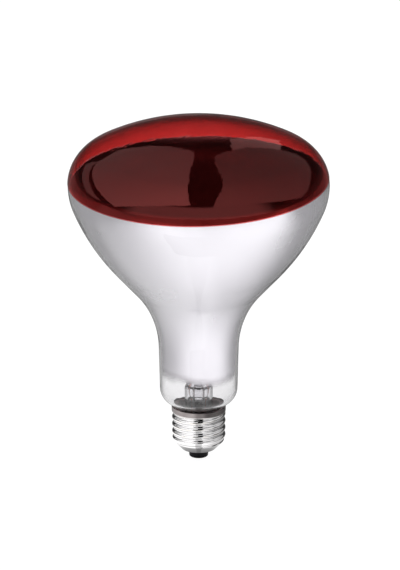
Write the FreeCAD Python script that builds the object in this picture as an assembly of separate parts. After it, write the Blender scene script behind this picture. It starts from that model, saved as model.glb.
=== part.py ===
import FreeCAD, Part
import math
import os

from FreeCAD import Vector

# An infrared heat lamp bulb: a blown reflector bulb with a red face, on an E27 screw cap.
# Millimetres. The axis is Z and the red face looks up. The origin is the lowest point of the
# cap, at the tip of its contact solder. -Y is the side seen in front.

# Bulb outline, from the face over the equator and the bowl down to the neck
equator_radius = 63.0
face_radius = 114.0
shoulder_radius = 20.0
bowl_upper_radius = 30.0
bowl_upper_turn = 22.6
bowl_lower_radius = 109.0
bowl_cone_turn = 42.3
throat_radius = 44.0
neck_radius = 19.4
neck_taper = 1.5
neck_length = 21.12
neck_corner_height = 36.0
neck_corner_radius = 8.5
neck_corner_turn = 52.0
seal_bend_radius = 1.6
seal_radius = 10.8
bulb_wall = 1.1

# Coats: a red filter lacquer outside on the face, an aluminium mirror inside on the bowl.
# Both are drawn thicker than the real films. Their edges lean, as the dipped edges do.
red_coat_thickness = 0.2
red_edge_above_equator = 2.6
red_edge_lean_front = 2.7
red_edge_lean_side = 1.25
mirror_thickness = 0.2
mirror_overlap = 1.0
mirror_edge_above_corner = 9.9
mirror_neck_lean_front = 5.0
mirror_neck_lean_side = -2.4

# E27 cap shell, rolled from nickel plated brass: a knuckle thread of two tangent arcs
thread_pitch = 3.629
thread_knuckle = 1.025
thread_crest_radius = 13.05
thread_phase = 8.15
shell_wall = 0.35
rim_proud = 0.12
rim_top = 26.8
rim_band = 2.3
rim_runout_turn = 50.0
rim_corner_radius = 0.8
shell_lip_radius = 8.3
shell_lip_height = 4.85
shell_cone_turn = 45.0
shell_corner_radius = 4.0
shell_upper_taper = 12.0

# Black glass insulator, contact plate and solder
insulator_top = 8.0
insulator_boss_radius = 4.9
insulator_boss_draft = 5.0
insulator_boss_rise = 0.5
insulator_corner_radius = 0.6
insulator_bore_radius = 1.0
contact_radius = 4.0
contact_thickness = 0.3
contact_proud = 0.12
contact_hole_radius = 0.6
contact_solder_radius = 1.9
contact_solder_height = 0.5
rim_solder_radius = 0.3
rim_solder_inset = 0.08
rim_solder_rise = 0.15

# Capping cement between the bulb's neck and the shell
cement_above_seal = 1.0
cement_below_rim = 0.8
cement_thread_clearance = 0.3

# Stem: a flared glass tube with a foot and a pressed top, and the exhaust tube
stem_radius = 6.8
stem_wall = 1.1
seal_height = 18.6
flare_bend_radius = 2.8
stem_shoulder_height = 37.7
stem_shoulder_radius = 1.8
foot_radius_top = 5.5
foot_radius_low = 4.2
foot_length = 5.6
foot_corner_radius = 0.7
press_width = 14.6
press_thickness = 5.6
press_top = 48.0
press_start_radius = 5.4
press_shoulder = 3.4
exhaust_hole_radius = 0.8
exhaust_hole_tilt = 50.0
exhaust_radius = 2.7
exhaust_wall = 0.8
exhaust_length = 4.8

# Wires
seal_wire_radius = 0.45
seal_wire_spacing = 6.8
seal_wire_stub = 1.6
contact_lead_radius = 0.35
rim_lead_radius = 0.2
rim_lead_lift = 0.06
rim_gap = 0.5
lead_bend_radius = 2.0
inner_lead_radius = 0.6
inner_lead_rise = 7.0
inner_lead_stand = 9.0

# Filament, its glass arbor rod and molybdenum supports
filament_below_equator = 31.4
filament_ring_radius = 14.0
filament_gap_angle = 70.0
filament_coil_radius = 0.9
arbor_radius = 1.5
button_radius = 2.7
button_below_filament = 9.0
support_count = 5
support_radius = 0.2
support_clearance = 0.05
support_embed = 1.0

# Values that follow from these
thread_centre_drop = math.sqrt((2 * thread_knuckle) ** 2 - (thread_pitch / 2) ** 2)
thread_depth = 2 * thread_knuckle - thread_centre_drop
thread_root_radius = thread_crest_radius - thread_depth
rim_radius = thread_crest_radius + rim_proud
rim_inner_radius = rim_radius - shell_wall
contact_low = contact_solder_height
insulator_low = contact_low + contact_proud
cement_low = seal_height + cement_above_seal
stem_ceiling = stem_shoulder_height - stem_wall
foot_low = stem_ceiling - foot_length
seal_wire_x = seal_wire_spacing / 2


def cosine(degrees):
    return math.cos(math.radians(degrees))


def sine(degrees):
    return math.sin(math.radians(degrees))


def at(radius, height):
    """A point in the half plane of the outline, at a distance from the axis and a height."""
    return Vector(radius, 0, height)


class Outline:
    """The outside line of a turned wall, walked with straight runs and tangent arcs.

    The heading is the way of travel in degrees: 0 is down the axis, 90 towards the axis and
    -90 away from it. The wall lies to the inside of the line, at a depth from it.
    """

    def __init__(self, radius, height, heading):
        self.place = (radius, height)
        self.heading = heading
        self.parts = []

    def shifted(self, amount, heading, place=None):
        """A place moved square to a heading, outwards by an amount."""
        radius, height = place or self.place
        return radius + amount * cosine(heading), height - amount * sine(heading)

    def run(self, length):
        start = self.place
        end = (start[0] - length * sine(self.heading), start[1] - length * cosine(self.heading))
        self.parts.append(("run", start, end, self.heading))
        self.place = end
        return self

    def run_to_height(self, height):
        return self.run((self.place[1] - height) / cosine(self.heading))

    def run_to_radius(self, radius):
        return self.run((self.place[0] - radius) / sine(self.heading))

    def turn(self, radius, heading):
        """An arc to a new heading, round a centre inside the line or, turning back, outside it."""
        side = 1 if heading > self.heading else -1
        centre = self.shifted(-side * radius, self.heading)
        self.parts.append(("turn", centre, side * radius, (self.heading, heading)))
        self.place = self.shifted(side * radius, heading, centre)
        self.heading = heading
        return self

    def edges(self, depth=0.0, first=0, last=None):
        found = []
        for kind, one, two, way in self.parts[first:last]:
            if kind == "run":
                ends = [at(*self.shifted(-depth, way, place)) for place in (one, two)]
                found.append(Part.makeLine(*ends))
            else:
                middle = (way[0] + way[1]) / 2
                stops = [self.shifted(two - depth, angle, one) for angle in (way[0], middle, way[1])]
                found.append(Part.Arc(*[at(*stop) for stop in stops]).toShape())
        return found


def ends_of(edges):
    """The first and the last point of a row of edges."""
    return edges[0].firstVertex(True).Point, edges[-1].lastVertex(True).Point


def turned(edges):
    """A closed row of edges in the half plane, turned about the axis to a solid."""
    face = Part.Face(Part.Wire(Part.__sortEdges__(edges)))
    solid = face.revolve(Vector(0, 0, 0), Vector(0, 0, 1), 360)
    return solid if solid.Volume > 0 else solid.reversed()


def turned_wall(outline, outer_depth, inner_depth, first=0, last=None):
    """The wall between two depths of an outline, turned to a solid."""
    outside = outline.edges(outer_depth, first, last)
    inside = outline.edges(inner_depth, first, last)
    outer_start, outer_end = ends_of(outside)
    inner_start, inner_end = ends_of(inside)
    caps = [Part.makeLine(outer_end, inner_end), Part.makeLine(inner_start, outer_start)]
    return turned(outside + inside + caps)


def turned_core(edges):
    """A row of edges closed to the axis at both ends, turned to a full solid."""
    top, low = ends_of(edges)
    caps = []
    if top.x > 1e-6:
        caps.append(Part.makeLine(at(0, top.z), top))
    if low.x > 1e-6:
        caps.append(Part.makeLine(low, at(0, low.z)))
    return turned(edges + caps + [Part.makeLine(at(0, low.z), at(0, top.z))])


def rod(points, radius, bend):
    """A round wire along straight runs, with a tangent arc at each inner point."""
    edges = []
    start = points[0]
    for before, corner, after in zip(points, points[1:], points[2:]):
        back = (before - corner).normalize()
        ahead = (after - corner).normalize()
        half_turn = (math.pi - back.getAngle(ahead)) / 2
        reach = bend * math.tan(half_turn)
        inward = (back + ahead).normalize()
        enter = corner + back * reach
        leave = corner + ahead * reach
        middle = corner + inward * (bend / math.cos(half_turn) - bend)
        edges.append(Part.makeLine(start, enter))
        edges.append(Part.Arc(enter, middle, leave).toShape())
        start = leave
    edges.append(Part.makeLine(start, points[-1]))
    return swept(edges, radius)


def swept(edges, radius):
    """A round wire along a row of tangent edges."""
    path = Part.Wire(edges)
    start = path.OrderedEdges[0]
    direction = start.tangentAt(start.FirstParameter)
    section = Part.Wire(Part.Circle(start.valueAt(start.FirstParameter), direction, radius).toShape())
    return path.makePipeShell([section], True, True)


def half_space(height, lean_front, lean_side, above):
    """A block above or below a leaning plane through the axis at a height."""
    reach = 4 * equator_radius
    block = Part.makeBox(2 * reach, 2 * reach, reach, Vector(-reach, -reach, 0 if above else -reach))
    normal = Vector(-math.tan(math.radians(lean_side)), -math.tan(math.radians(lean_front)), 1)
    turn = FreeCAD.Rotation(Vector(0, 0, 1), normal)
    block.Placement = FreeCAD.Placement(Vector(0, 0, height), turn)
    return block


# Bulb
def bowl_outline(line):
    """A line carried on from the equator, over the bowl and the throat, to the top of the neck."""
    line.turn(bowl_upper_radius, bowl_upper_turn)
    line.turn(bowl_lower_radius, bowl_cone_turn)
    line.run_to_radius(neck_radius + throat_radius * (cosine(neck_taper) - cosine(bowl_cone_turn)))
    return line.turn(throat_radius, neck_taper)


bowl_height = -bowl_outline(Outline(equator_radius, 0, 0)).place[1]
equator_height = neck_corner_height + neck_length + bowl_height
filament_height = equator_height - filament_below_equator
arbor_top = filament_height - button_below_filament


def bulb_outline():
    """The outside of the blown bulb, from the apex of the face to the end of the neck."""
    reach = face_radius - shoulder_radius
    face_half_angle = math.degrees(math.asin((equator_radius - shoulder_radius) / reach))
    apex = equator_height - reach * cosine(face_half_angle) + face_radius
    line = Outline(0, apex, -90)
    line.turn(face_radius, face_half_angle - 90)
    line.turn(shoulder_radius, 0)
    bowl_outline(line)
    line.run_to_height(neck_corner_height)
    line.turn(neck_corner_radius, neck_corner_turn)
    line.run_to_radius(seal_radius + seal_bend_radius * (1 - cosine(neck_corner_turn)))
    line.turn(seal_bend_radius, 0)
    line.run_to_height(seal_height)
    return line


def glass_bulb():
    return turned_wall(bulb_outline(), 0, bulb_wall)


def red_coat():
    """Lacquer on the face and shoulder, down to a leaning edge near the equator."""
    skin = turned_wall(bulb_outline(), -red_coat_thickness, 0, 0, 3)
    edge = half_space(equator_height + red_edge_above_equator, red_edge_lean_front,
                      red_edge_lean_side, True)
    return skin.common(edge)


def mirror_coat():
    """Aluminium on the inside of the shoulder, bowl and neck, between two leaning edges."""
    skin = turned_wall(bulb_outline(), bulb_wall, bulb_wall + mirror_thickness, 1, 7)
    top = half_space(equator_height + red_edge_above_equator + mirror_overlap,
                     red_edge_lean_front, red_edge_lean_side, False)
    low = half_space(neck_corner_height + mirror_edge_above_corner, mirror_neck_lean_front,
                     mirror_neck_lean_side, True)
    return skin.common(top).common(low)


# Cap
def thread_core(depth, low, high):
    """A full solid with the thread's knuckles on it, turned as rings between two levels."""
    slope = math.degrees(math.asin(thread_pitch / (4 * thread_knuckle)))
    above = math.ceil((high - thread_phase) / thread_pitch) + 1
    below = math.ceil((thread_phase - low) / thread_pitch) + 1
    line = Outline(thread_crest_radius, thread_phase + above * thread_pitch, 0)
    for number in range(above + below):
        line.turn(thread_knuckle, slope)
        line.turn(thread_knuckle, -slope)
        line.turn(thread_knuckle, 0)
    level = Part.makeCylinder(2 * thread_crest_radius, high - low, at(0, low))
    return turned_core(line.edges(depth)).common(level)


def shell_foot_outline():
    """The taper under the thread: a steep draft, a corner and the cone down to the lip."""
    cone_top = thread_root_radius - shell_wall
    cone_rise = (cone_top - shell_lip_radius) / math.tan(math.radians(shell_cone_turn))
    start_radius = thread_crest_radius + thread_depth
    corner_width = shell_corner_radius * (cosine(shell_upper_taper) - cosine(shell_cone_turn))
    corner_fall = shell_corner_radius * (sine(shell_cone_turn) - sine(shell_upper_taper))
    draft_width = start_radius - cone_top - corner_width
    draft_fall = draft_width / math.tan(math.radians(shell_upper_taper))
    line = Outline(start_radius, shell_lip_height + cone_rise + corner_fall + draft_fall,
                   shell_upper_taper)
    line.run_to_radius(cone_top + corner_width)
    line.turn(shell_corner_radius, shell_cone_turn)
    line.run_to_radius(shell_lip_radius)
    return line


def rim_outline():
    """The plain rim band and the cone on which the thread's grooves run out."""
    line = Outline(rim_radius, rim_top, 0)
    line.run(rim_band)
    line.turn(rim_corner_radius, rim_runout_turn)
    line.run_to_radius(thread_root_radius - 2 * shell_wall)
    return line


def shell_core(depth, above, below):
    """The shell's form filled to the axis, at a depth, reaching past its rim and its lip."""
    rim = rim_outline().edges(depth)
    foot = shell_foot_outline().edges(depth)
    band_top = ends_of(rim)[0]
    lip = ends_of(foot)[1]
    head = ends_of(foot)[0]
    low = shell_lip_height - below
    grip = thread_core(depth, low, rim_top - rim_band)
    ceiling = [Part.makeLine(at(head.x, rim_top), head)]
    floor = [Part.makeLine(lip, at(lip.x, low))] if below else []
    form = turned_core(ceiling + foot + floor)
    top = [Part.makeLine(at(band_top.x, rim_top + above), band_top)] if above else []
    return grip.common(form).fuse(turned_core(top + rim)).removeSplitter()


def cap_shell():
    past = 2 * shell_wall
    return shell_core(0, 0, 0).cut(shell_core(shell_wall, past, past))


def cap_insulator():
    """Black glass poured into the shell's foot, with a boss that carries the contact."""
    foot = shell_foot_outline()
    cone_start = foot.parts[-1][1]
    seat = Outline(cone_start[0], cone_start[1], shell_cone_turn).run_to_radius(shell_lip_radius)
    lip_radius, lip_height = seat.shifted(-shell_wall, shell_cone_turn)
    top_radius = lip_radius + (insulator_top - lip_height) * math.tan(math.radians(shell_cone_turn))
    boss = Outline(insulator_boss_radius, lip_height - insulator_boss_rise, insulator_boss_draft)
    corner_fall = insulator_corner_radius * (1 - sine(insulator_boss_draft))
    boss.run_to_height(insulator_low + corner_fall)
    boss.turn(insulator_corner_radius, 90)
    edges = [
        Part.makeLine(at(top_radius, insulator_top), at(lip_radius, lip_height)),
        Part.makeLine(at(lip_radius, lip_height), at(*boss.parts[0][1])),
    ]
    body = turned_core(edges + boss.edges())
    bore = Part.makeCylinder(insulator_bore_radius, insulator_top)
    recess = Part.makeCylinder(contact_radius, contact_thickness, at(0, contact_low))
    return body.cut(bore).cut(recess)


def centre_contact():
    plate = Part.makeCylinder(contact_radius, contact_thickness, at(0, contact_low))
    return plate.cut(Part.makeCylinder(contact_hole_radius, insulator_top))


def contact_solder(lead):
    """A low dome of solder over the hole in the contact and the lead's end."""
    ball = (contact_solder_radius ** 2 + contact_solder_height ** 2) / (2 * contact_solder_height)
    dome = Part.makeSphere(ball, at(0, ball))
    dome = dome.common(Part.makeCylinder(contact_solder_radius, contact_solder_height))
    plug = Part.makeCylinder(contact_hole_radius, contact_thickness, at(0, contact_low))
    return dome.fuse(plug).cut(lead).removeSplitter()


def rim_solder(lead):
    """A small bead of solder that joins the side lead to the edge of the rim, at the back."""
    centre = Vector(0, rim_radius - rim_solder_inset, rim_top + rim_solder_rise)
    bead = Part.makeSphere(rim_solder_radius, centre)
    return bead.cut(Part.makeCylinder(rim_radius, rim_top)).cut(lead)


def capping_cement(lead):
    """The cement ring round the bulb's neck, up to just under the rim."""
    thread_side = thread_root_radius - shell_wall - cement_thread_clearance
    shelf = rim_outline().edges(shell_wall)[0].lastVertex(True).Point.z
    top = rim_top - cement_below_rim
    ring = Part.makeCylinder(thread_side, top - cement_low, at(0, cement_low))
    collar = Part.makeCylinder(rim_inner_radius, top - shelf, at(0, shelf))
    neck = turned_core(bulb_outline().edges())
    return ring.fuse(collar).cut(neck).cut(lead).removeSplitter()


# Stem
def ellipse(width, thickness, height):
    curve = Part.Ellipse(Vector(0, 0, height), width / 2, thickness / 2)
    return Part.Wire(curve.toShape())


def stem_tube(seal_wires):
    """The flared tube with its closed shoulder, the foot in its bore and the pressed top."""
    line = Outline(0, stem_shoulder_height, -90)
    line.run_to_radius(stem_radius - stem_shoulder_radius)
    line.turn(stem_shoulder_radius, 0)
    line.run_to_height(seal_height + flare_bend_radius)
    line.turn(flare_bend_radius, -90)
    line.run_to_radius(seal_radius)
    tube = turned_wall(line, 0, stem_wall)
    foot_line = Outline(foot_radius_top, stem_ceiling, math.degrees(
        math.atan2(foot_radius_top - foot_radius_low, foot_length)))
    foot_line.run_to_height(foot_low + foot_corner_radius * (1 - sine(foot_line.heading)))
    foot_line.turn(foot_corner_radius, 90)
    foot = turned_core(foot_line.edges())
    press_low = stem_shoulder_height - stem_wall / 2
    round_start = ellipse(2 * press_start_radius, 2 * press_start_radius - 0.01, press_low)
    flat_start = ellipse(press_width, press_thickness, stem_shoulder_height + press_shoulder)
    shoulder = Part.makeLoft([round_start, flat_start], True, True)
    flat = Part.Face(flat_start).extrude(Vector(0, 0, press_top - stem_shoulder_height - press_shoulder))
    glass = tube.fuse([foot, shoulder, flat]).removeSplitter()
    channel = Part.makeCylinder(exhaust_radius - exhaust_wall, foot_length, at(0, foot_low))
    side_way = Vector(0, sine(exhaust_hole_tilt), cosine(exhaust_hole_tilt))
    side_hole = Part.makeCylinder(exhaust_hole_radius, stem_radius + press_width,
                                  at(0, stem_ceiling), side_way)
    return glass.cut([channel, side_hole] + seal_wires)


def exhaust_tube():
    """The short rest of the pumping tube, drawn off to a closed round tip."""
    line = Outline(exhaust_radius, foot_low, 0)
    line.run(exhaust_length - exhaust_radius)
    line.turn(exhaust_radius, 90)
    outside = turned_core(line.edges())
    bore = Part.makeCylinder(exhaust_radius - exhaust_wall, exhaust_length - exhaust_radius,
                             at(0, foot_low - exhaust_length + exhaust_radius))
    tip = Part.makeSphere(exhaust_radius - exhaust_wall, at(0, foot_low - exhaust_length + exhaust_radius))
    return outside.cut(bore).cut(tip)


def seal_wire(side):
    low = Vector(side * seal_wire_x, 0, foot_low - seal_wire_stub)
    return Part.makeCylinder(seal_wire_radius, press_top - foot_low + 2 * seal_wire_stub, low)


def contact_lead():
    """From the left seal wire down through the insulator to the contact."""
    start = foot_low - seal_wire_stub
    middle = (start + insulator_top) / 2
    points = [
        Vector(-seal_wire_x, 0, start),
        Vector(-seal_wire_x, 0, middle + seal_wire_x),
        at(0, middle - seal_wire_x),
        at(0, contact_low),
    ]
    return rod(points, contact_lead_radius, lead_bend_radius)


def rim_lead():
    """From the right seal wire under the flare, up beside the neck and over the rim's edge."""
    under = seal_height - stem_wall - 2 * lead_bend_radius
    beside = (seal_radius + thread_root_radius - shell_wall) / 2
    outlet = rim_inner_radius - rim_gap / 2
    over = rim_top + rim_lead_lift + rim_lead_radius
    points = [
        Vector(seal_wire_x, 0, foot_low - seal_wire_stub),
        Vector(seal_wire_x, 0, under),
        Vector(0, beside, under),
        Vector(0, beside, rim_top - rim_band - rim_lead_radius),
        Vector(0, outlet, rim_top - cement_below_rim),
        Vector(0, outlet, over),
        Vector(0, rim_radius - rim_solder_inset, over),
    ]
    return rod(points, rim_lead_radius, 1.1 * rim_lead_radius)


# Filament mount
def ring_point(angle, height, radius=filament_ring_radius):
    return Vector(radius * cosine(angle), radius * sine(angle), height)


def filament_end(side):
    """The angle at which the filament's ring ends, at the left or right of its front gap."""
    return -90 + side * filament_gap_angle / 2


def inner_lead(side):
    """A nickel wire from the seal wire up to the filament's end, where it stands upright."""
    low = press_top + seal_wire_stub
    top = ring_point(filament_end(side), filament_height + 2 * filament_coil_radius)
    points = [
        Vector(side * seal_wire_x, 0, low),
        Vector(side * seal_wire_x, 0, low + inner_lead_rise),
        Vector(top.x, top.y, filament_height - inner_lead_stand),
        top,
    ]
    return rod(points, inner_lead_radius, lead_bend_radius)


def filament():
    """The outer form of the coiled tungsten wire, a ring with a gap in front."""
    lead_share = math.degrees(inner_lead_radius / filament_ring_radius)
    start = filament_end(1) + lead_share
    end = 360 + filament_end(-1) - lead_share
    stops = [ring_point(angle, filament_height) for angle in (start, (start + end) / 2, end)]
    return swept([Part.Arc(*stops).toShape()], filament_coil_radius)


def support_angle(number):
    share = (number + 0.5) / support_count
    return filament_end(1) + share * (360 - filament_gap_angle)


def filament_support(number):
    """A molybdenum wire from the button out to the filament, looped round the coil."""
    angle = support_angle(number)
    loop = filament_coil_radius + support_clearance + support_radius
    start = Vector(button_radius - support_embed, 0, arbor_top)
    centre = Vector(filament_ring_radius, 0, filament_height)
    sight = centre - start
    slope = math.degrees(math.atan2(sight.z, sight.x))
    offset = math.degrees(math.asin(loop / sight.Length))
    touch_way = slope - offset - 90
    steps = [touch_way, touch_way + 150, touch_way + 300]
    stops = [centre + Vector(loop * cosine(step), 0, loop * sine(step)) for step in steps]
    wire = swept([Part.makeLine(start, stops[0]), Part.Arc(*stops).toShape()], support_radius)
    wire.rotate(Vector(0, 0, 0), Vector(0, 0, 1), angle)
    return wire


def arbor_rod(supports):
    """A glass cane on the press, melted to a button at its top that holds the supports."""
    cane = Part.makeCylinder(arbor_radius, arbor_top - press_top, at(0, press_top))
    button = Part.makeSphere(button_radius, at(0, arbor_top))
    return cane.fuse(button).cut(supports).removeSplitter()


# All pieces, and one file for each
sides = {"left": -1, "right": 1}
seal_wires = {name: seal_wire(side) for name, side in sides.items()}
supports = [filament_support(number) for number in range(support_count)]
lead_to_contact = contact_lead()
lead_to_rim = rim_lead()

nodes = {
    "glass_bulb": glass_bulb(),
    "red_filter_coat": red_coat(),
    "mirror_coat": mirror_coat(),
    "cap_shell": cap_shell(),
    "cap_insulator": cap_insulator(),
    "centre_contact": centre_contact(),
    "contact_solder": contact_solder(lead_to_contact),
    "rim_solder": rim_solder(lead_to_rim),
    "capping_cement": capping_cement(lead_to_rim),
    "stem_tube": stem_tube(list(seal_wires.values())),
    "exhaust_tube": exhaust_tube(),
    "contact_lead": lead_to_contact,
    "rim_lead": lead_to_rim,
    "filament": filament(),
    "arbor_rod": arbor_rod(supports),
}
for name, side in sides.items():
    nodes["seal_wire_" + name] = seal_wires[name]
    nodes["inner_lead_" + name] = inner_lead(side)
for number, support in enumerate(supports, start=1):
    nodes["filament_support_%d" % number] = support

os.makedirs("parts", exist_ok=True)
for name, shape in nodes.items():
    solids = shape.Solids
    print(name, len(solids), shape.isValid(), round(shape.Volume, 2))
    whole = solids[0] if len(solids) == 1 else shape
    whole.exportStep("parts/" + name + ".step")
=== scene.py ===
import math

import bmesh
import bpy
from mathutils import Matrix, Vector


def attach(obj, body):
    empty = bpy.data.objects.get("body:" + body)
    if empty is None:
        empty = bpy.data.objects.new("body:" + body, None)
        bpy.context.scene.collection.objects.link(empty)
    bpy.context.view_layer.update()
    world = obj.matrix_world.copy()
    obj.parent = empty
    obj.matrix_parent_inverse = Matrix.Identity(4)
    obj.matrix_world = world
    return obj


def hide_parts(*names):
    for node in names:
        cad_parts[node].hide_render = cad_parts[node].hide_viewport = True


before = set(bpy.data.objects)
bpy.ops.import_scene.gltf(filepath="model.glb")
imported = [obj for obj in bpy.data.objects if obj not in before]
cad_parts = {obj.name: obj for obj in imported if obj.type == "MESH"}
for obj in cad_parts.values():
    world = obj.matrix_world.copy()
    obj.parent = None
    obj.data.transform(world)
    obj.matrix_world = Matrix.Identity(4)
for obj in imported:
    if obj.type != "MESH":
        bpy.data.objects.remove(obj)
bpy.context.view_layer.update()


# Glass bulb
# Blown in one piece from hard glass: a round face, a bowl and a neck whose end is melted to the
# flare of the stem inside the cap. The wall is clear and 1.1 mm thick.
equator_radius = 63.0
equator_height = 139.4
face_radius = 114.0
shoulder_radius = 20.0
bowl_upper_radius = 30.0
bowl_upper_turn = 22.6
bowl_lower_radius = 109.0
bowl_slope = 42.3
throat_radius = 44.0
neck_radius = 19.4
neck_taper = 1.5
neck_corner_height = 36.0
neck_corner_radius = 8.5
seal_slope = 52
seal_bend = 1.6
seal_radius = 10.8
seal_height = 18.6
bulb_wall = 1.1
turn_steps = 192


def walk(radius, height, heading, moves, step=2.5):
    """Points along runs and tangent arcs in millimetres, each with its heading. 0 is down, 90 inwards."""
    path = [(radius, height, heading)]
    for move, value, way in moves:
        radius, height, heading = path[-1]
        bearing = math.radians(heading)
        if move == "turn":
            reach = math.copysign(value, way - heading)
            centre = (radius - reach * math.cos(bearing), height + reach * math.sin(bearing))
            count = max(2, math.ceil(abs(way - heading) / step))
            for number in range(1, count + 1):
                now = heading + (way - heading) * number / count
                bearing = math.radians(now)
                path.append((centre[0] + reach * math.cos(bearing),
                             centre[1] - reach * math.sin(bearing), now))
        else:
            if move == "to radius":
                length = (radius - value) / math.sin(bearing)
            else:
                length = (height - value) / math.cos(bearing)
            path.append((radius - length * math.sin(bearing),
                         height - length * math.cos(bearing), heading))
    return path


def under(path, depth):
    """The line at a depth under a walked line, as radius and height."""
    line = []
    for radius, height, heading in path:
        bearing = math.radians(heading)
        line.append((radius - depth * math.cos(bearing), height + depth * math.sin(bearing)))
    return line


def spun(line, closed=False, steps=turn_steps):
    """A bmesh in metres: a line of radius and height turned about the axis, seam and poles merged."""
    mesh = bmesh.new()
    points = [mesh.verts.new((max(radius, 0.0) / 1000, 0, height / 1000)) for radius, height in line]
    sides = [mesh.edges.new(pair) for pair in zip(points, points[1:])]
    if closed:
        sides.append(mesh.edges.new((points[-1], points[0])))
    bmesh.ops.spin(mesh, geom=points + sides, cent=(0, 0, 0), axis=(0, 0, 1), dvec=(0, 0, 0),
                   angle=math.tau, steps=steps, use_merge=True)
    bmesh.ops.remove_doubles(mesh, verts=mesh.verts, dist=2e-6)
    bmesh.ops.dissolve_degenerate(mesh, edges=mesh.edges, dist=1e-7)
    bmesh.ops.recalc_face_normals(mesh, faces=mesh.faces)
    return mesh


def placed(mesh, name, material, node=None, sharp=35):
    """The finished piece: smooth faces, its material, its body and the node it stands for."""
    data = bpy.data.meshes.new(name)
    mesh.to_mesh(data)
    mesh.free()
    data.polygons.foreach_set("use_smooth", [True] * len(data.polygons))
    data.set_sharp_from_angle(angle=math.radians(sharp))
    data.materials.append(material)
    piece = bpy.data.objects.new(name, data)
    bpy.context.scene.collection.objects.link(piece)
    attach(piece, "root")
    if node:
        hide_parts(node)
    return piece


def finish_of(name, **values):
    """A material with its Principled shader, set to plain values."""
    material = bpy.data.materials.new(name)
    material.use_nodes = True
    shader = material.node_tree.nodes["Principled BSDF"]
    for socket, value in values.items():
        shader.inputs[socket.replace("_", " ")].default_value = value
    return material, material.node_tree, shader


def fed(tree, node, *values):
    """The first output of a node, with its inputs set to values or linked to sockets, in order."""
    for socket, value in zip(node.inputs, values):
        if isinstance(value, bpy.types.NodeSocket):
            tree.links.new(value, socket)
        elif value is not None:
            socket.default_value = value
    return node.outputs[0]


def calc(tree, operation, *values):
    """A math node on numbers or sockets."""
    node = tree.nodes.new("ShaderNodeMath")
    node.operation = operation
    return fed(tree, node, *values)


def ranged(tree, value, low, high, start, end):
    """A value carried smoothly from one range to another."""
    node = tree.nodes.new("ShaderNodeMapRange")
    node.interpolation_type = "SMOOTHSTEP"
    return fed(tree, node, value, low, high, start, end)


def mixed(tree, share, one, other):
    """One colour where the share is 0, the other where it is 1."""
    node = tree.nodes.new("ShaderNodeMix")
    node.data_type = "RGBA"
    tree.links.new(share, node.inputs["Factor"])
    for socket, value in (("A", one), ("B", other)):
        if isinstance(value, tuple):
            node.inputs[socket].default_value = (*value, 1)
        else:
            tree.links.new(value, node.inputs[socket])
    return node.outputs["Result"]


def object_place(tree):
    """The place on the object, in metres."""
    return tree.nodes.new("ShaderNodeTexCoord").outputs["Object"]


def coordinates(tree):
    """The object's X, Y and Z."""
    node = tree.nodes.new("ShaderNodeSeparateXYZ")
    tree.links.new(object_place(tree), node.inputs[0])
    return node.outputs


# A finish that differs softly from place to place, for any material
patchy = bpy.data.node_groups.new("patchy", "ShaderNodeTree")
for socket, kind, way in (("Place", "NodeSocketVector", "INPUT"), ("Scale", "NodeSocketFloat", "INPUT"),
                          ("Low", "NodeSocketFloat", "INPUT"), ("High", "NodeSocketFloat", "INPUT"),
                          ("Value", "NodeSocketFloat", "OUTPUT")):
    patchy.interface.new_socket(socket, socket_type=kind, in_out=way)
given = patchy.nodes.new("NodeGroupInput").outputs
cloud = patchy.nodes.new("ShaderNodeTexNoise")
cloud.inputs["Detail"].default_value = 4.0
patchy.links.new(given["Place"], cloud.inputs["Vector"])
patchy.links.new(given["Scale"], cloud.inputs["Scale"])
shaped = ranged(patchy, cloud.outputs["Fac"], 0.3, 0.7, given["Low"], given["High"])
patchy.links.new(shaped, patchy.nodes.new("NodeGroupOutput").inputs["Value"])


def varied(tree, scale, low, high, stretch=(1, 1, 1)):
    """A value that wanders between two limits over the piece."""
    stretched = tree.nodes.new("ShaderNodeMapping")
    stretched.inputs["Scale"].default_value = stretch
    tree.links.new(object_place(tree), stretched.inputs["Vector"])
    node = tree.nodes.new("ShaderNodeGroup")
    node.node_tree = patchy
    return fed(tree, node, stretched.outputs[0], scale, low, high)


def coloured(tree, shader, scale, one, other, stretch=(1, 1, 1)):
    """A colour that wanders between two."""
    tree.links.new(mixed(tree, varied(tree, scale, 0.0, 1.0, stretch), one, other),
                   shader.inputs["Base Color"])


def roughened(tree, shader, scale, low, high, stretch=(1, 1, 1)):
    """A roughness that wanders between two limits."""
    tree.links.new(varied(tree, scale, low, high, stretch), shader.inputs["Roughness"])


def bumped(tree, shader, scale, distance, stretch=(1, 1, 1)):
    """Soft bumps of a height in metres."""
    bump = tree.nodes.new("ShaderNodeBump")
    bump.inputs["Distance"].default_value = distance
    tree.links.new(varied(tree, scale, 0.0, 1.0, stretch), bump.inputs["Height"])
    tree.links.new(bump.outputs[0], shader.inputs["Normal"])


reach = face_radius - shoulder_radius
face_half = math.degrees(math.asin((equator_radius - shoulder_radius) / reach))
apex = equator_height - reach * math.cos(math.radians(face_half)) + face_radius
throat_start = neck_radius + throat_radius * (math.cos(math.radians(neck_taper))
                                              - math.cos(math.radians(bowl_slope)))
seal_start = seal_radius + seal_bend * (1 - math.cos(math.radians(seal_slope)))
face_moves = [("turn", face_radius, face_half - 90), ("turn", shoulder_radius, 0)]
bowl_moves = [("turn", bowl_upper_radius, bowl_upper_turn), ("turn", bowl_lower_radius, bowl_slope),
              ("to radius", throat_start, 0), ("turn", throat_radius, neck_taper),
              ("to height", neck_corner_height, 0)]
end_moves = [("turn", neck_corner_radius, seal_slope), ("to radius", seal_start, 0),
             ("turn", seal_bend, 0), ("to height", seal_height, 0)]
bulb_path = walk(0, apex, -90, face_moves + bowl_moves + end_moves)

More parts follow.
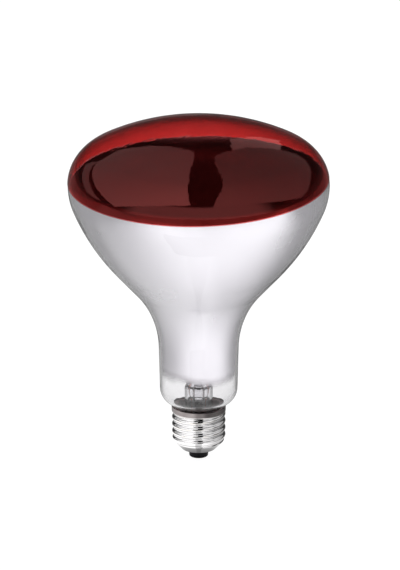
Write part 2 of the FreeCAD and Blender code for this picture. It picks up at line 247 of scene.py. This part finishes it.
clear_glass, tree, shader = finish_of("clear_glass", Roughness=0.0, IOR=1.47, Transmission_Weight=1.0)
coloured(tree, shader, 25.0, (0.925, 0.919, 0.930), (0.940, 0.937, 0.945))
bumped(tree, shader, 45.0, 0.00004)
bulb = spun(under(bulb_path, 0) + under(bulb_path, bulb_wall)[::-1], closed=True)
placed(bulb, "bulb_glass", clear_glass, "glass_bulb")


# Red filter coat
# A transparent red lacquer dipped onto the face and shoulder. Its edge lies just above the equator
# and leans a little, as the bulb hung in the dip.
coat_depth = 0.195
film_gap = 0.03
coat_edge_rise = 2.6
coat_edge_lean = (2.7, 1.25)


def leaning_plane(height, front, side):
    """A point and an upward normal of a plane across the axis, leaning by degrees."""
    normal = Vector((-math.tan(math.radians(side)), -math.tan(math.radians(front)), 1)).normalized()
    return Vector((0, 0, height / 1000)), normal


def cut_off(mesh, plane, above):
    """Removes what lies above, or below, a plane."""
    bmesh.ops.bisect_plane(mesh, geom=list(mesh.verts) + list(mesh.edges) + list(mesh.faces),
                           plane_co=plane[0], plane_no=plane[1], dist=1e-7,
                           clear_outer=above, clear_inner=not above)


def thickened(mesh, thickness):
    """A wall on the inner side of an open skin that faces outwards."""
    bmesh.ops.solidify(mesh, geom=mesh.faces, thickness=thickness / 1000)
    return mesh


red_lacquer, tree, shader = finish_of("red_lacquer", Metallic=0.076, IOR=1.16, Transmission_Weight=1.0,
                                      Specular_Tint=(1.0, 0.3, 0.22, 1))
coloured(tree, shader, 30.0, (0.985, 0.203, 0.196), (1.0, 0.218, 0.212), (1, 1, 0.4))
roughened(tree, shader, 60.0, 0.012, 0.030)
bumped(tree, shader, 38.0, 0.00009)
coat_path = walk(0, apex, -90, face_moves + bowl_moves[:1])
coat = spun(under(coat_path, -coat_depth))
coat_edge = leaning_plane(equator_height + coat_edge_rise, *coat_edge_lean)
cut_off(coat, coat_edge, above=False)
thickened(coat, coat_depth - film_gap)
placed(coat, "red_coat", red_lacquer, "red_filter_coat")


# Mirror coat
# Aluminium evaporated onto the inside of the bowl and the upper neck. It reaches up to the edge of
# the red coat, and it thins out in the neck to a soft wavy edge.
mirror_thickness = 0.15
mirror_end_height = 45.9
mirror_end_lean = (5.0, -2.4)
mirror_end = leaning_plane(mirror_end_height, *mirror_end_lean)

# The fade and its waves are in metres above the plane where the mirror ends
fade_low = -0.0034
fade_high = 0.0044
wave_height = 0.0022
mirror_film, tree, shader = finish_of("mirror_film", Metallic=1.0)
from_end = tree.nodes.new("ShaderNodeVectorMath")
from_end.operation = "SUBTRACT"
fed(tree, from_end, object_place(tree), mirror_end[0])
rise = tree.nodes.new("ShaderNodeVectorMath")
rise.operation = "DOT_PRODUCT"
fed(tree, rise, from_end.outputs[0], mirror_end[1])
ragged = calc(tree, "ADD", rise.outputs["Value"], varied(tree, 70.0, -wave_height / 2, wave_height / 2))
film = ranged(tree, ragged, fade_low, fade_high, 0.0, 1.0)
tree.links.new(film, shader.inputs["Alpha"])
cloudy = varied(tree, 18.0, 0.0, 1.0, (1, 1, 0.5))
silver = mixed(tree, cloudy, (0.935, 0.920, 0.955), (0.950, 0.936, 0.970))
tree.links.new(mixed(tree, film, (0.60, 0.58, 0.61), silver), shader.inputs["Base Color"])
roughened(tree, shader, 22.0, 0.27, 0.33, (1, 1, 0.5))
mirror_path = walk(*walk(0, apex, -90, face_moves[:1])[-1], face_moves[1:] + bowl_moves)
mirror = spun(under(mirror_path, bulb_wall + film_gap))
cut_off(mirror, coat_edge, above=True)
cut_off(mirror, (mirror_end[0] + Vector((0, 0, fade_low)), mirror_end[1]), above=False)
thickened(mirror, mirror_thickness)
placed(mirror, "mirror", mirror_film, "mirror_coat")


# Stem
# Flared glass tubing with a foot and a pressed top, the drawn-off pumping tube under it, and the
# glass cane with its button. All are the same clear glass as the bulb, and their CAD shapes stay.
def dressed(names, material):
    """CAD nodes that keep their shape get a finish."""
    for name in names:
        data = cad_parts[name].data
        data.materials.clear()
        data.materials.append(material)


dressed(["stem_tube", "exhaust_tube", "arbor_rod"], clear_glass)


# Wires
# Copper coated wires through the press, copper leads down to the cap, and drawn nickel wires up to
# the filament. The copper is dull where the flame has been.
copper, tree, shader = finish_of("copper_wire", Metallic=1.0)
coloured(tree, shader, 220.0, (0.80, 0.40, 0.30), (0.55, 0.24, 0.20))
roughened(tree, shader, 300.0, 0.22, 0.45)
dressed(["seal_wire_left", "seal_wire_right", "contact_lead", "rim_lead"], copper)
nickel_wire, tree, shader = finish_of("nickel_wire", Metallic=1.0)
coloured(tree, shader, 180.0, (0.64, 0.62, 0.58), (0.50, 0.48, 0.46))
roughened(tree, shader, 400.0, 0.20, 0.40, (1, 1, 0.1))
dressed(["inner_lead_left", "inner_lead_right"], nickel_wire)


# Filament
# Tungsten wire wound to a close coil, held in a ring with a gap in front by molybdenum wires that
# stand in the button. It is welded to the nickel wires at its ends.
ring_radius = 14.0
ring_below_equator = 31.4
ring_height = equator_height - ring_below_equator
ring_start = -52.5
ring_end = 232.5
coil_radius = 0.72
coil_wire = 0.16
coil_turns = 92
steps_each_turn = 14
tungsten, tree, shader = finish_of("tungsten", Metallic=1.0)
coloured(tree, shader, 250.0, (0.36, 0.36, 0.37), (0.26, 0.25, 0.26))
roughened(tree, shader, 350.0, 0.28, 0.45)
dressed(["filament_support_%d" % number for number in range(1, 6)], tungsten)
coil_line = bpy.data.curves.new("coil_line", "CURVE")
coil_line.dimensions = "3D"
coil_line.bevel_depth = coil_wire / 1000
coil_line.bevel_resolution = 1
coil_line.use_fill_caps = True
count = coil_turns * steps_each_turn
turn = coil_line.splines.new("POLY")
turn.points.add(count)
for number, point in enumerate(turn.points):
    angle = math.radians(ring_start + (ring_end - ring_start) * number / count)
    winding = math.tau * number / steps_each_turn
    radius = (ring_radius + coil_radius * math.cos(winding)) / 1000
    height = (ring_height + coil_radius * math.sin(winding)) / 1000
    point.co = (radius * math.cos(angle), radius * math.sin(angle), height, 1)
coil_curve = bpy.data.objects.new("coil_line", coil_line)
coil = bmesh.new()
coil.from_mesh(coil_curve.to_mesh())
coil_curve.to_mesh_clear()
bpy.data.objects.remove(coil_curve)
bpy.data.curves.remove(coil_line)
bmesh.ops.remove_doubles(coil, verts=coil.verts, dist=1e-7)
bmesh.ops.recalc_face_normals(coil, faces=coil.faces)
placed(coil, "filament_coil", tungsten, "filament", sharp=60)


# Cap shell
# Brass sheet, nickel plated: a plain rim, four turns of knuckle thread rolled into it and a
# drawn-in foot that holds the black glass.
pitch = 3.629
knuckle = 1.025
crest_radius = 13.05
crest_phase = 8.15
shell_wall = 0.35
rim_radius = 13.17
rim_top = 26.8
rim_band = 2.3
rim_bend = 0.8
rim_slope = 50
foot_draft = 12
foot_bend = 4.0
foot_slope = 45
lip_radius = 8.3
lip_height = 4.85
centre_drop = math.sqrt((2 * knuckle) ** 2 - (pitch / 2) ** 2)
root_radius = crest_radius - 2 * knuckle + centre_drop


def thread_radius(height, depth):
    """The radius of the knuckle thread at a height above a crest, at a depth under its outside."""
    half = pitch / 2
    along = abs((height + half) % pitch - half)
    crest_centre = crest_radius - knuckle
    if along < (knuckle - depth) * half / (2 * knuckle):
        return crest_centre + math.sqrt((knuckle - depth) ** 2 - along ** 2)
    return crest_centre + centre_drop - math.sqrt((knuckle + depth) ** 2 - (half - along) ** 2)


def line_radius(line, height):
    """The radius of a falling line of radius and height, at a height."""
    for (above, high), (below, low) in zip(line, line[1:]):
        if low <= height <= high:
            return below + (above - below) * (height - low) / max(high - low, 1e-9)
    return line[0][0] if height > line[0][1] else line[-1][0]


cone_top = root_radius - shell_wall
foot_bend_width = foot_bend * (math.cos(math.radians(foot_draft)) - math.cos(math.radians(foot_slope)))
foot_bend_drop = foot_bend * (math.sin(math.radians(foot_slope)) - math.sin(math.radians(foot_draft)))
outside_crests = 1.2
foot_start_radius = crest_radius + outside_crests
foot_start = (lip_height + (cone_top - lip_radius) + foot_bend_drop
              + (foot_start_radius - cone_top - foot_bend_width) / math.tan(math.radians(foot_draft)))
foot_path = walk(foot_start_radius, foot_start, foot_draft,
                 [("to radius", cone_top + foot_bend_width, 0), ("turn", foot_bend, foot_slope),
                  ("to radius", lip_radius, 0)])
inside_roots = 0.7
rim_path = walk(rim_radius, rim_top, 0,
                [("to height", rim_top - rim_band, 0), ("turn", rim_bend, rim_slope),
                 ("to radius", root_radius - inside_roots, 0)])


def shell_radius(height, angle, depth):
    """The radius of the shell's surface at a height and an angle in radians."""
    radius = thread_radius(height - crest_phase - pitch * angle / math.tau, depth)
    foot = line_radius(under(foot_path, depth), height)
    rim = line_radius(under(rim_path, depth), height)
    radius = min(radius, foot)
    if height > under(rim_path, depth)[-1][1]:
        radius = max(radius, rim)
    return radius


def shell_skin(depth, top, low, rows=200):
    """The shell's surface at a depth: a tube whose points are moved to the thread, foot and rim."""
    line = [(crest_radius, top + (low - top) * number / rows) for number in range(rows + 1)]
    skin = spun(line, steps=240)
    for vertex in skin.verts:
        height = vertex.co.z * 1000
        angle = math.atan2(vertex.co.y, vertex.co.x)
        radius = shell_radius(height, angle, depth) / 1000
        vertex.co.x = radius * math.cos(angle)
        vertex.co.y = radius * math.sin(angle)
    return skin


def product(tree, *factors):
    """The product of two or more sockets."""
    result = factors[0]
    for factor in factors[1:]:
        result = calc(tree, "MULTIPLY", result, factor)
    return result


def length_of(tree, one, other):
    """The distance that two coordinates give."""
    return calc(tree, "SQRT", calc(tree, "ADD", product(tree, one, one), product(tree, other, other)))


# The crests are rubbed to a warmer metal, and the plain rim is darker and rougher
rubbed_from, rubbed_to = 0.01294, 0.01304
rim_band_from, rim_band_to = 0.0241, 0.0246
nickel, tree, shader = finish_of("nickel_plate", Metallic=1.0)
x, y, z = coordinates(tree)
rubbed = product(tree, ranged(tree, length_of(tree, x, y), rubbed_from, rubbed_to, 0.0, 1.0),
                 varied(tree, 300.0, 0.0, 0.55))
band = ranged(tree, z, rim_band_from, rim_band_to, 0.0, 1.0)
plate = mixed(tree, varied(tree, 160.0, 0.0, 1.0, (1, 1, 3)), (0.86, 0.85, 0.855), (0.80, 0.79, 0.795))
plate = mixed(tree, rubbed, plate, (0.78, 0.73, 0.66))
# The plain rim gets a darker base colour all round
darker_rim = mixed(tree, varied(tree, 260.0, 0.0, 1.0), (0.25, 0.22, 0.22), (0.32, 0.29, 0.285))
tree.links.new(mixed(tree, band, plate, darker_rim), shader.inputs["Base Color"])
rolled = varied(tree, 40.0, 0.07, 0.13, (1, 1, 40))
tree.links.new(calc(tree, "MULTIPLY_ADD", band, 0.15, rolled), shader.inputs["Roughness"])
lip_step = 0.01
shell = shell_skin(0, rim_top, lip_height)
inner = shell_skin(shell_wall, rim_top, lip_height + lip_step)
bmesh.ops.reverse_faces(inner, faces=inner.faces)
inner_data = bpy.data.meshes.new("shell_inside")
inner.to_mesh(inner_data)
inner.free()
shell.from_mesh(inner_data)
bpy.data.meshes.remove(inner_data)
rims = [edge for edge in shell.edges if edge.is_boundary]
for level in (rim_top, lip_height):
    ring = [edge for edge in rims if abs(edge.verts[0].co.z * 1000 - level) < 0.5]
    bmesh.ops.bridge_loops(shell, edges=ring)
placed(shell, "cap_shell_rolled", nickel, "cap_shell", sharp=50)


# Black glass insulator
# Glass poured into the shell's foot, with a low boss below it that carries the contact plate. Its
# skin shows faint flow rings.
boss_radius = 4.9
boss_draft = 5
boss_root_drop = 0.5
boss_low = 0.62
boss_edge = 0.6
lead_hole = 1.0
glass_top = 8.0
black_glass, tree, shader = finish_of("black_glass", IOR=1.35)
coloured(tree, shader, 400.0, (0.002, 0.002, 0.0025), (0.004, 0.004, 0.005))
roughened(tree, shader, 250.0, 0.05, 0.14)
bumped(tree, shader, 220.0, 0.00003, (1, 1, 2))
inner_lip = (lip_radius - shell_wall * math.cos(math.radians(foot_slope)),
             lip_height + shell_wall * math.sin(math.radians(foot_slope)))
boss_path = walk(boss_radius, inner_lip[1] - boss_root_drop, boss_draft,
                 [("to height", boss_low + boss_edge * (1 - math.sin(math.radians(boss_draft))), 0),
                  ("turn", boss_edge, 90), ("to radius", lead_hole, 0)], step=10)
insulator_line = [(lead_hole, glass_top), (inner_lip[0] + glass_top - inner_lip[1], glass_top), inner_lip]
insulator_line += under(boss_path, 0)
placed(spun(insulator_line, closed=True, steps=128), "insulator", black_glass, "cap_insulator")


# Contact, solder and cement
# A brass plate under the black glass, with a dome of tin solder over its hole, a bead of solder on
# the rim at the back, and the grainy cement that holds the bulb's neck in the shell.
brass, tree, shader = finish_of("contact_brass", Metallic=1.0)
coloured(tree, shader, 500.0, (0.78, 0.64, 0.34), (0.62, 0.50, 0.28))
roughened(tree, shader, 600.0, 0.18, 0.34)
dressed(["centre_contact"], brass)
solder, tree, shader = finish_of("solder", Metallic=1.0)
coloured(tree, shader, 900.0, (0.72, 0.72, 0.73), (0.55, 0.55, 0.56))
roughened(tree, shader, 700.0, 0.20, 0.42)
bumped(tree, shader, 800.0, 0.00004)
dressed(["contact_solder", "rim_solder"], solder)
cement, tree, shader = finish_of("cement", Roughness=0.92)
coloured(tree, shader, 900.0, (0.92, 0.83, 0.84), (0.80, 0.70, 0.72))
bumped(tree, shader, 1500.0, 0.0001)
dressed(["capping_cement"], cement)


# Studio
# A pale floor and a pale surround. What a mirrored ray meets is graded: the floor is bright in
# front and dimmer behind, the ceiling is dim, and softboxes hang overhead with a gap in the middle.
def either(tree, choice, one, other):
    """One value where the choice is 0, the other where it is 1."""
    return calc(tree, "MULTIPLY_ADD", calc(tree, "SUBTRACT", other, one), choice, one)


def staged(mesh, name, material):
    """A stage object from a bmesh."""
    data = bpy.data.meshes.new(name)
    mesh.to_mesh(data)
    mesh.free()
    data.materials.append(material)
    item = bpy.data.objects.new(name, data)
    bpy.context.scene.collection.objects.link(item)
    return item


def glowing(name, strength):
    """A stage material that gives off a plain light."""
    material = bpy.data.materials.new(name)
    material.use_nodes = True
    tree = material.node_tree
    tree.nodes.clear()
    glow = tree.nodes.new("ShaderNodeEmission")
    glow.inputs["Color"].default_value = (1, 1, 1, 1)
    out = tree.nodes.new("ShaderNodeOutputMaterial")
    tree.links.new(glow.outputs[0], out.inputs["Surface"])
    if strength is not None:
        glow.inputs["Strength"].default_value = strength
    return material, tree, glow, out


paper_grey = 0.12
seen_floor = 0.955
floor_material, tree, glow, out = glowing("floor", None)
x, y, z = coordinates(tree)
path = tree.nodes.new("ShaderNodeLightPath").outputs

# Behind the clear glass, the silver mirrors a floor that dims from the front to the back. The limit
# between the two runs forward on the left, where it is also softer.
softness = calc(tree, "MAXIMUM", calc(tree, "MULTIPLY_ADD", x, -0.5, 0.125), 0.085)
softness = calc(tree, "MINIMUM", softness, 0.28)
across = calc(tree, "MULTIPLY_ADD", calc(tree, "ABSOLUTE", x), 0.475, calc(tree, "SUBTRACT", y, 0.008))
across = calc(tree, "MULTIPLY_ADD", x, -0.325, across)
graded = product(tree, ranged(tree, calc(tree, "DIVIDE", across, softness), -1.0, 1.0, 1.27, 0.36),
                 ranged(tree, y, 0.35, 0.55, 1.0, 0.3), ranged(tree, y, -0.62, -0.44, 0.42, 1.0))

# The cap and the lacquer mirror a grey strip in front, with shade under the cap, on the right,
# far off and at the rear
forward = calc(tree, "MAXIMUM", calc(tree, "MULTIPLY", y, -1.0), 0.001)
strip = ranged(tree, calc(tree, "DIVIDE", calc(tree, "ABSOLUTE", x), forward), 0.16, 0.26, 0.70, 1.25)
under_cap = ranged(tree, length_of(tree, x, y), 0.002, 0.024, 0.04, 1.0)
right_side = calc(tree, "MAXIMUM", ranged(tree, x, 0.005, 0.04, 1.0, 0.13),
                  ranged(tree, x, 0.07, 0.14, 0.0, 0.42))
far_off = ranged(tree, length_of(tree, x, calc(tree, "ADD", y, 0.12)), 0.20, 0.42, 1.0, 0.30)
rear = ranged(tree, y, 0.0, 0.08, 1.0, 0.22)
bare = product(tree, strip, under_cap, right_side, far_off, rear)

# A ray that has met nothing but clear glass sees the plain pale floor
mirrored = calc(tree, "MINIMUM", path["Glossy Depth"], 1.0)
tree.links.new(either(tree, mirrored, seen_floor, either(tree, path["Is Transmission Ray"], bare, graded)),
               glow.inputs["Strength"])
paper = tree.nodes.new("ShaderNodeBsdfDiffuse")
paper.inputs["Color"].default_value = (paper_grey, paper_grey, paper_grey, 1)
both = tree.nodes.new("ShaderNodeAddShader")
tree.links.new(fed(tree, both, paper.outputs[0], glow.outputs[0]), out.inputs["Surface"])
floor = bmesh.new()
bmesh.ops.create_circle(floor, cap_ends=True, radius=6.0, segments=64)
staged(floor, "floor", floor_material)

# The surround is white to the camera. Mirrored, it is a low bright field in front and dim elsewhere,
# and through the glass only its lowest part is lit.
world = bpy.data.worlds.new("studio")
bpy.context.scene.world = world
world.use_nodes = True
tree = world.node_tree
tree.nodes.clear()
direction = tree.nodes.new("ShaderNodeSeparateXYZ")
tree.links.new(tree.nodes.new("ShaderNodeTexCoord").outputs["Generated"], direction.inputs[0])
x, y, z = direction.outputs
path = tree.nodes.new("ShaderNodeLightPath").outputs
behind = ranged(tree, z, 0.0, 0.25, 0.10, 0.04)
front = ranged(tree, z, 0.46, 0.60, 1.2, 0.04)
outside = either(tree, ranged(tree, y, -0.6, -0.3, 1.0, 0.0), behind, front)
within = product(tree, ranged(tree, z, 0.0, 0.12, 0.45, 0.015), ranged(tree, y, -0.6, 0.0, 1.2, 0.15))
mirrored = calc(tree, "MINIMUM", path["Glossy Depth"], 1.0)
strength = either(tree, mirrored, 1.0, either(tree, path["Is Transmission Ray"], outside, within))
back = tree.nodes.new("ShaderNodeBackground")
tree.links.new(either(tree, path["Is Diffuse Ray"], strength, 0.9), back.inputs["Strength"])
tree.links.new(back.outputs[0], tree.nodes.new("ShaderNodeOutputWorld").inputs["Surface"])

# Each softbox has a strength and corners, which are directions from the dome, and dims to the rear
softboxes = {
    "left_softbox": (1.42, [(-0.32, 0.82, 0.48), (-0.02, 0.63, 0.78), (-0.11, -0.80, 0.58),
                            (-0.95, -0.25, 0.06)]),
    "side_softbox": (1.1, [(-0.39, 0.79, 0.48), (-0.54, 0.79, 0.28), (-0.93, 0.36, 0.04),
                           (-0.99, 0.05, 0.06)]),
    "right_softbox": (0.88, [(0.08, 0.59, 0.80), (0.35, 0.84, 0.40), (0.95, 0.15, 0.06),
                             (0.20, -0.85, 0.50)]),
    "rear_softbox": (1.9, [(0.13, 0.81, 0.57), (0.25, 0.92, 0.29), (0.33, 0.80, 0.50),
                           (0.17, 0.64, 0.75)]),
}
dome_centre = Vector((0, 0, 0.15))
softbox_distance = 1.5
softbox_front, softbox_rear = -0.8, 1.1
front_glow, rear_glow = 1.1, 0.42


def mirrored_only(item):
    """Seen by mirrored rays alone."""
    for ray in ("camera", "diffuse", "transmission", "volume_scatter", "shadow"):
        setattr(item, "visible_" + ray, False)


for name, (strength, corners) in softboxes.items():
    cloth, tree, glow, out = glowing(name, None)
    tree.links.new(ranged(tree, coordinates(tree)[1], softbox_front, softbox_rear,
                          front_glow * strength, rear_glow * strength), glow.inputs["Strength"])
    sheet = bmesh.new()
    sheet.faces.new([sheet.verts.new(Vector(corner) * softbox_distance + dome_centre)
                     for corner in corners])
    mirrored_only(staged(sheet, name, cloth))

# A narrow black flag in front, which the thread mirrors as dark spots
flag_left, flag_right = -0.045, 0.030
flag_low, flag_high = 0.003, 0.10
flag_front = -0.10
flag = bmesh.new()
flag.faces.new([flag.verts.new(corner) for corner in (
    (flag_left, flag_front, flag_low), (flag_right, flag_front, flag_low),
    (flag_right, flag_front, flag_high), (flag_left, flag_front, flag_high))])
mirrored_only(staged(flag, "black_flag", glowing("black_flag", 0.0)[0]))


lamp_size = 0.7
lamp_target = Vector((0, 0, 0.12))


def lamp(name, place, power):
    """A soft square lamp that looks at the bulb and lights what is not a mirror."""
    light = bpy.data.lights.new(name, "AREA")
    light.size = lamp_size
    light.energy = power
    item = bpy.data.objects.new(name, light)
    bpy.context.scene.collection.objects.link(item)
    item.location = place
    item.rotation_euler = (lamp_target - Vector(place)).to_track_quat("-Z", "Y").to_euler()
    item.visible_glossy = False
    item.visible_transmission = False


lamp("left_lamp", (-0.55, -0.35, 1.1), 3.0)
lamp("right_lamp", (0.55, -0.35, 1.1), 2.2)


# Camera
# At the photograph's height of about 19 degrees, with a long lens.
elevation = math.radians(19)
aim = Vector((0.00063, 0, 0.0884))
distance = 3.0
camera = bpy.data.objects.new("camera", bpy.data.cameras.new("camera"))
bpy.context.scene.collection.objects.link(camera)
bpy.context.scene.camera = camera
camera.location = aim + distance * Vector((0, -math.cos(elevation), math.sin(elevation)))
camera.rotation_euler = (aim - camera.location).to_track_quat("-Z", "Y").to_euler()
camera.data.lens = 392.1
camera.data.clip_end = 100

scene = bpy.context.scene
scene.view_settings.view_transform = "Standard"
scene.cycles.use_denoising = True
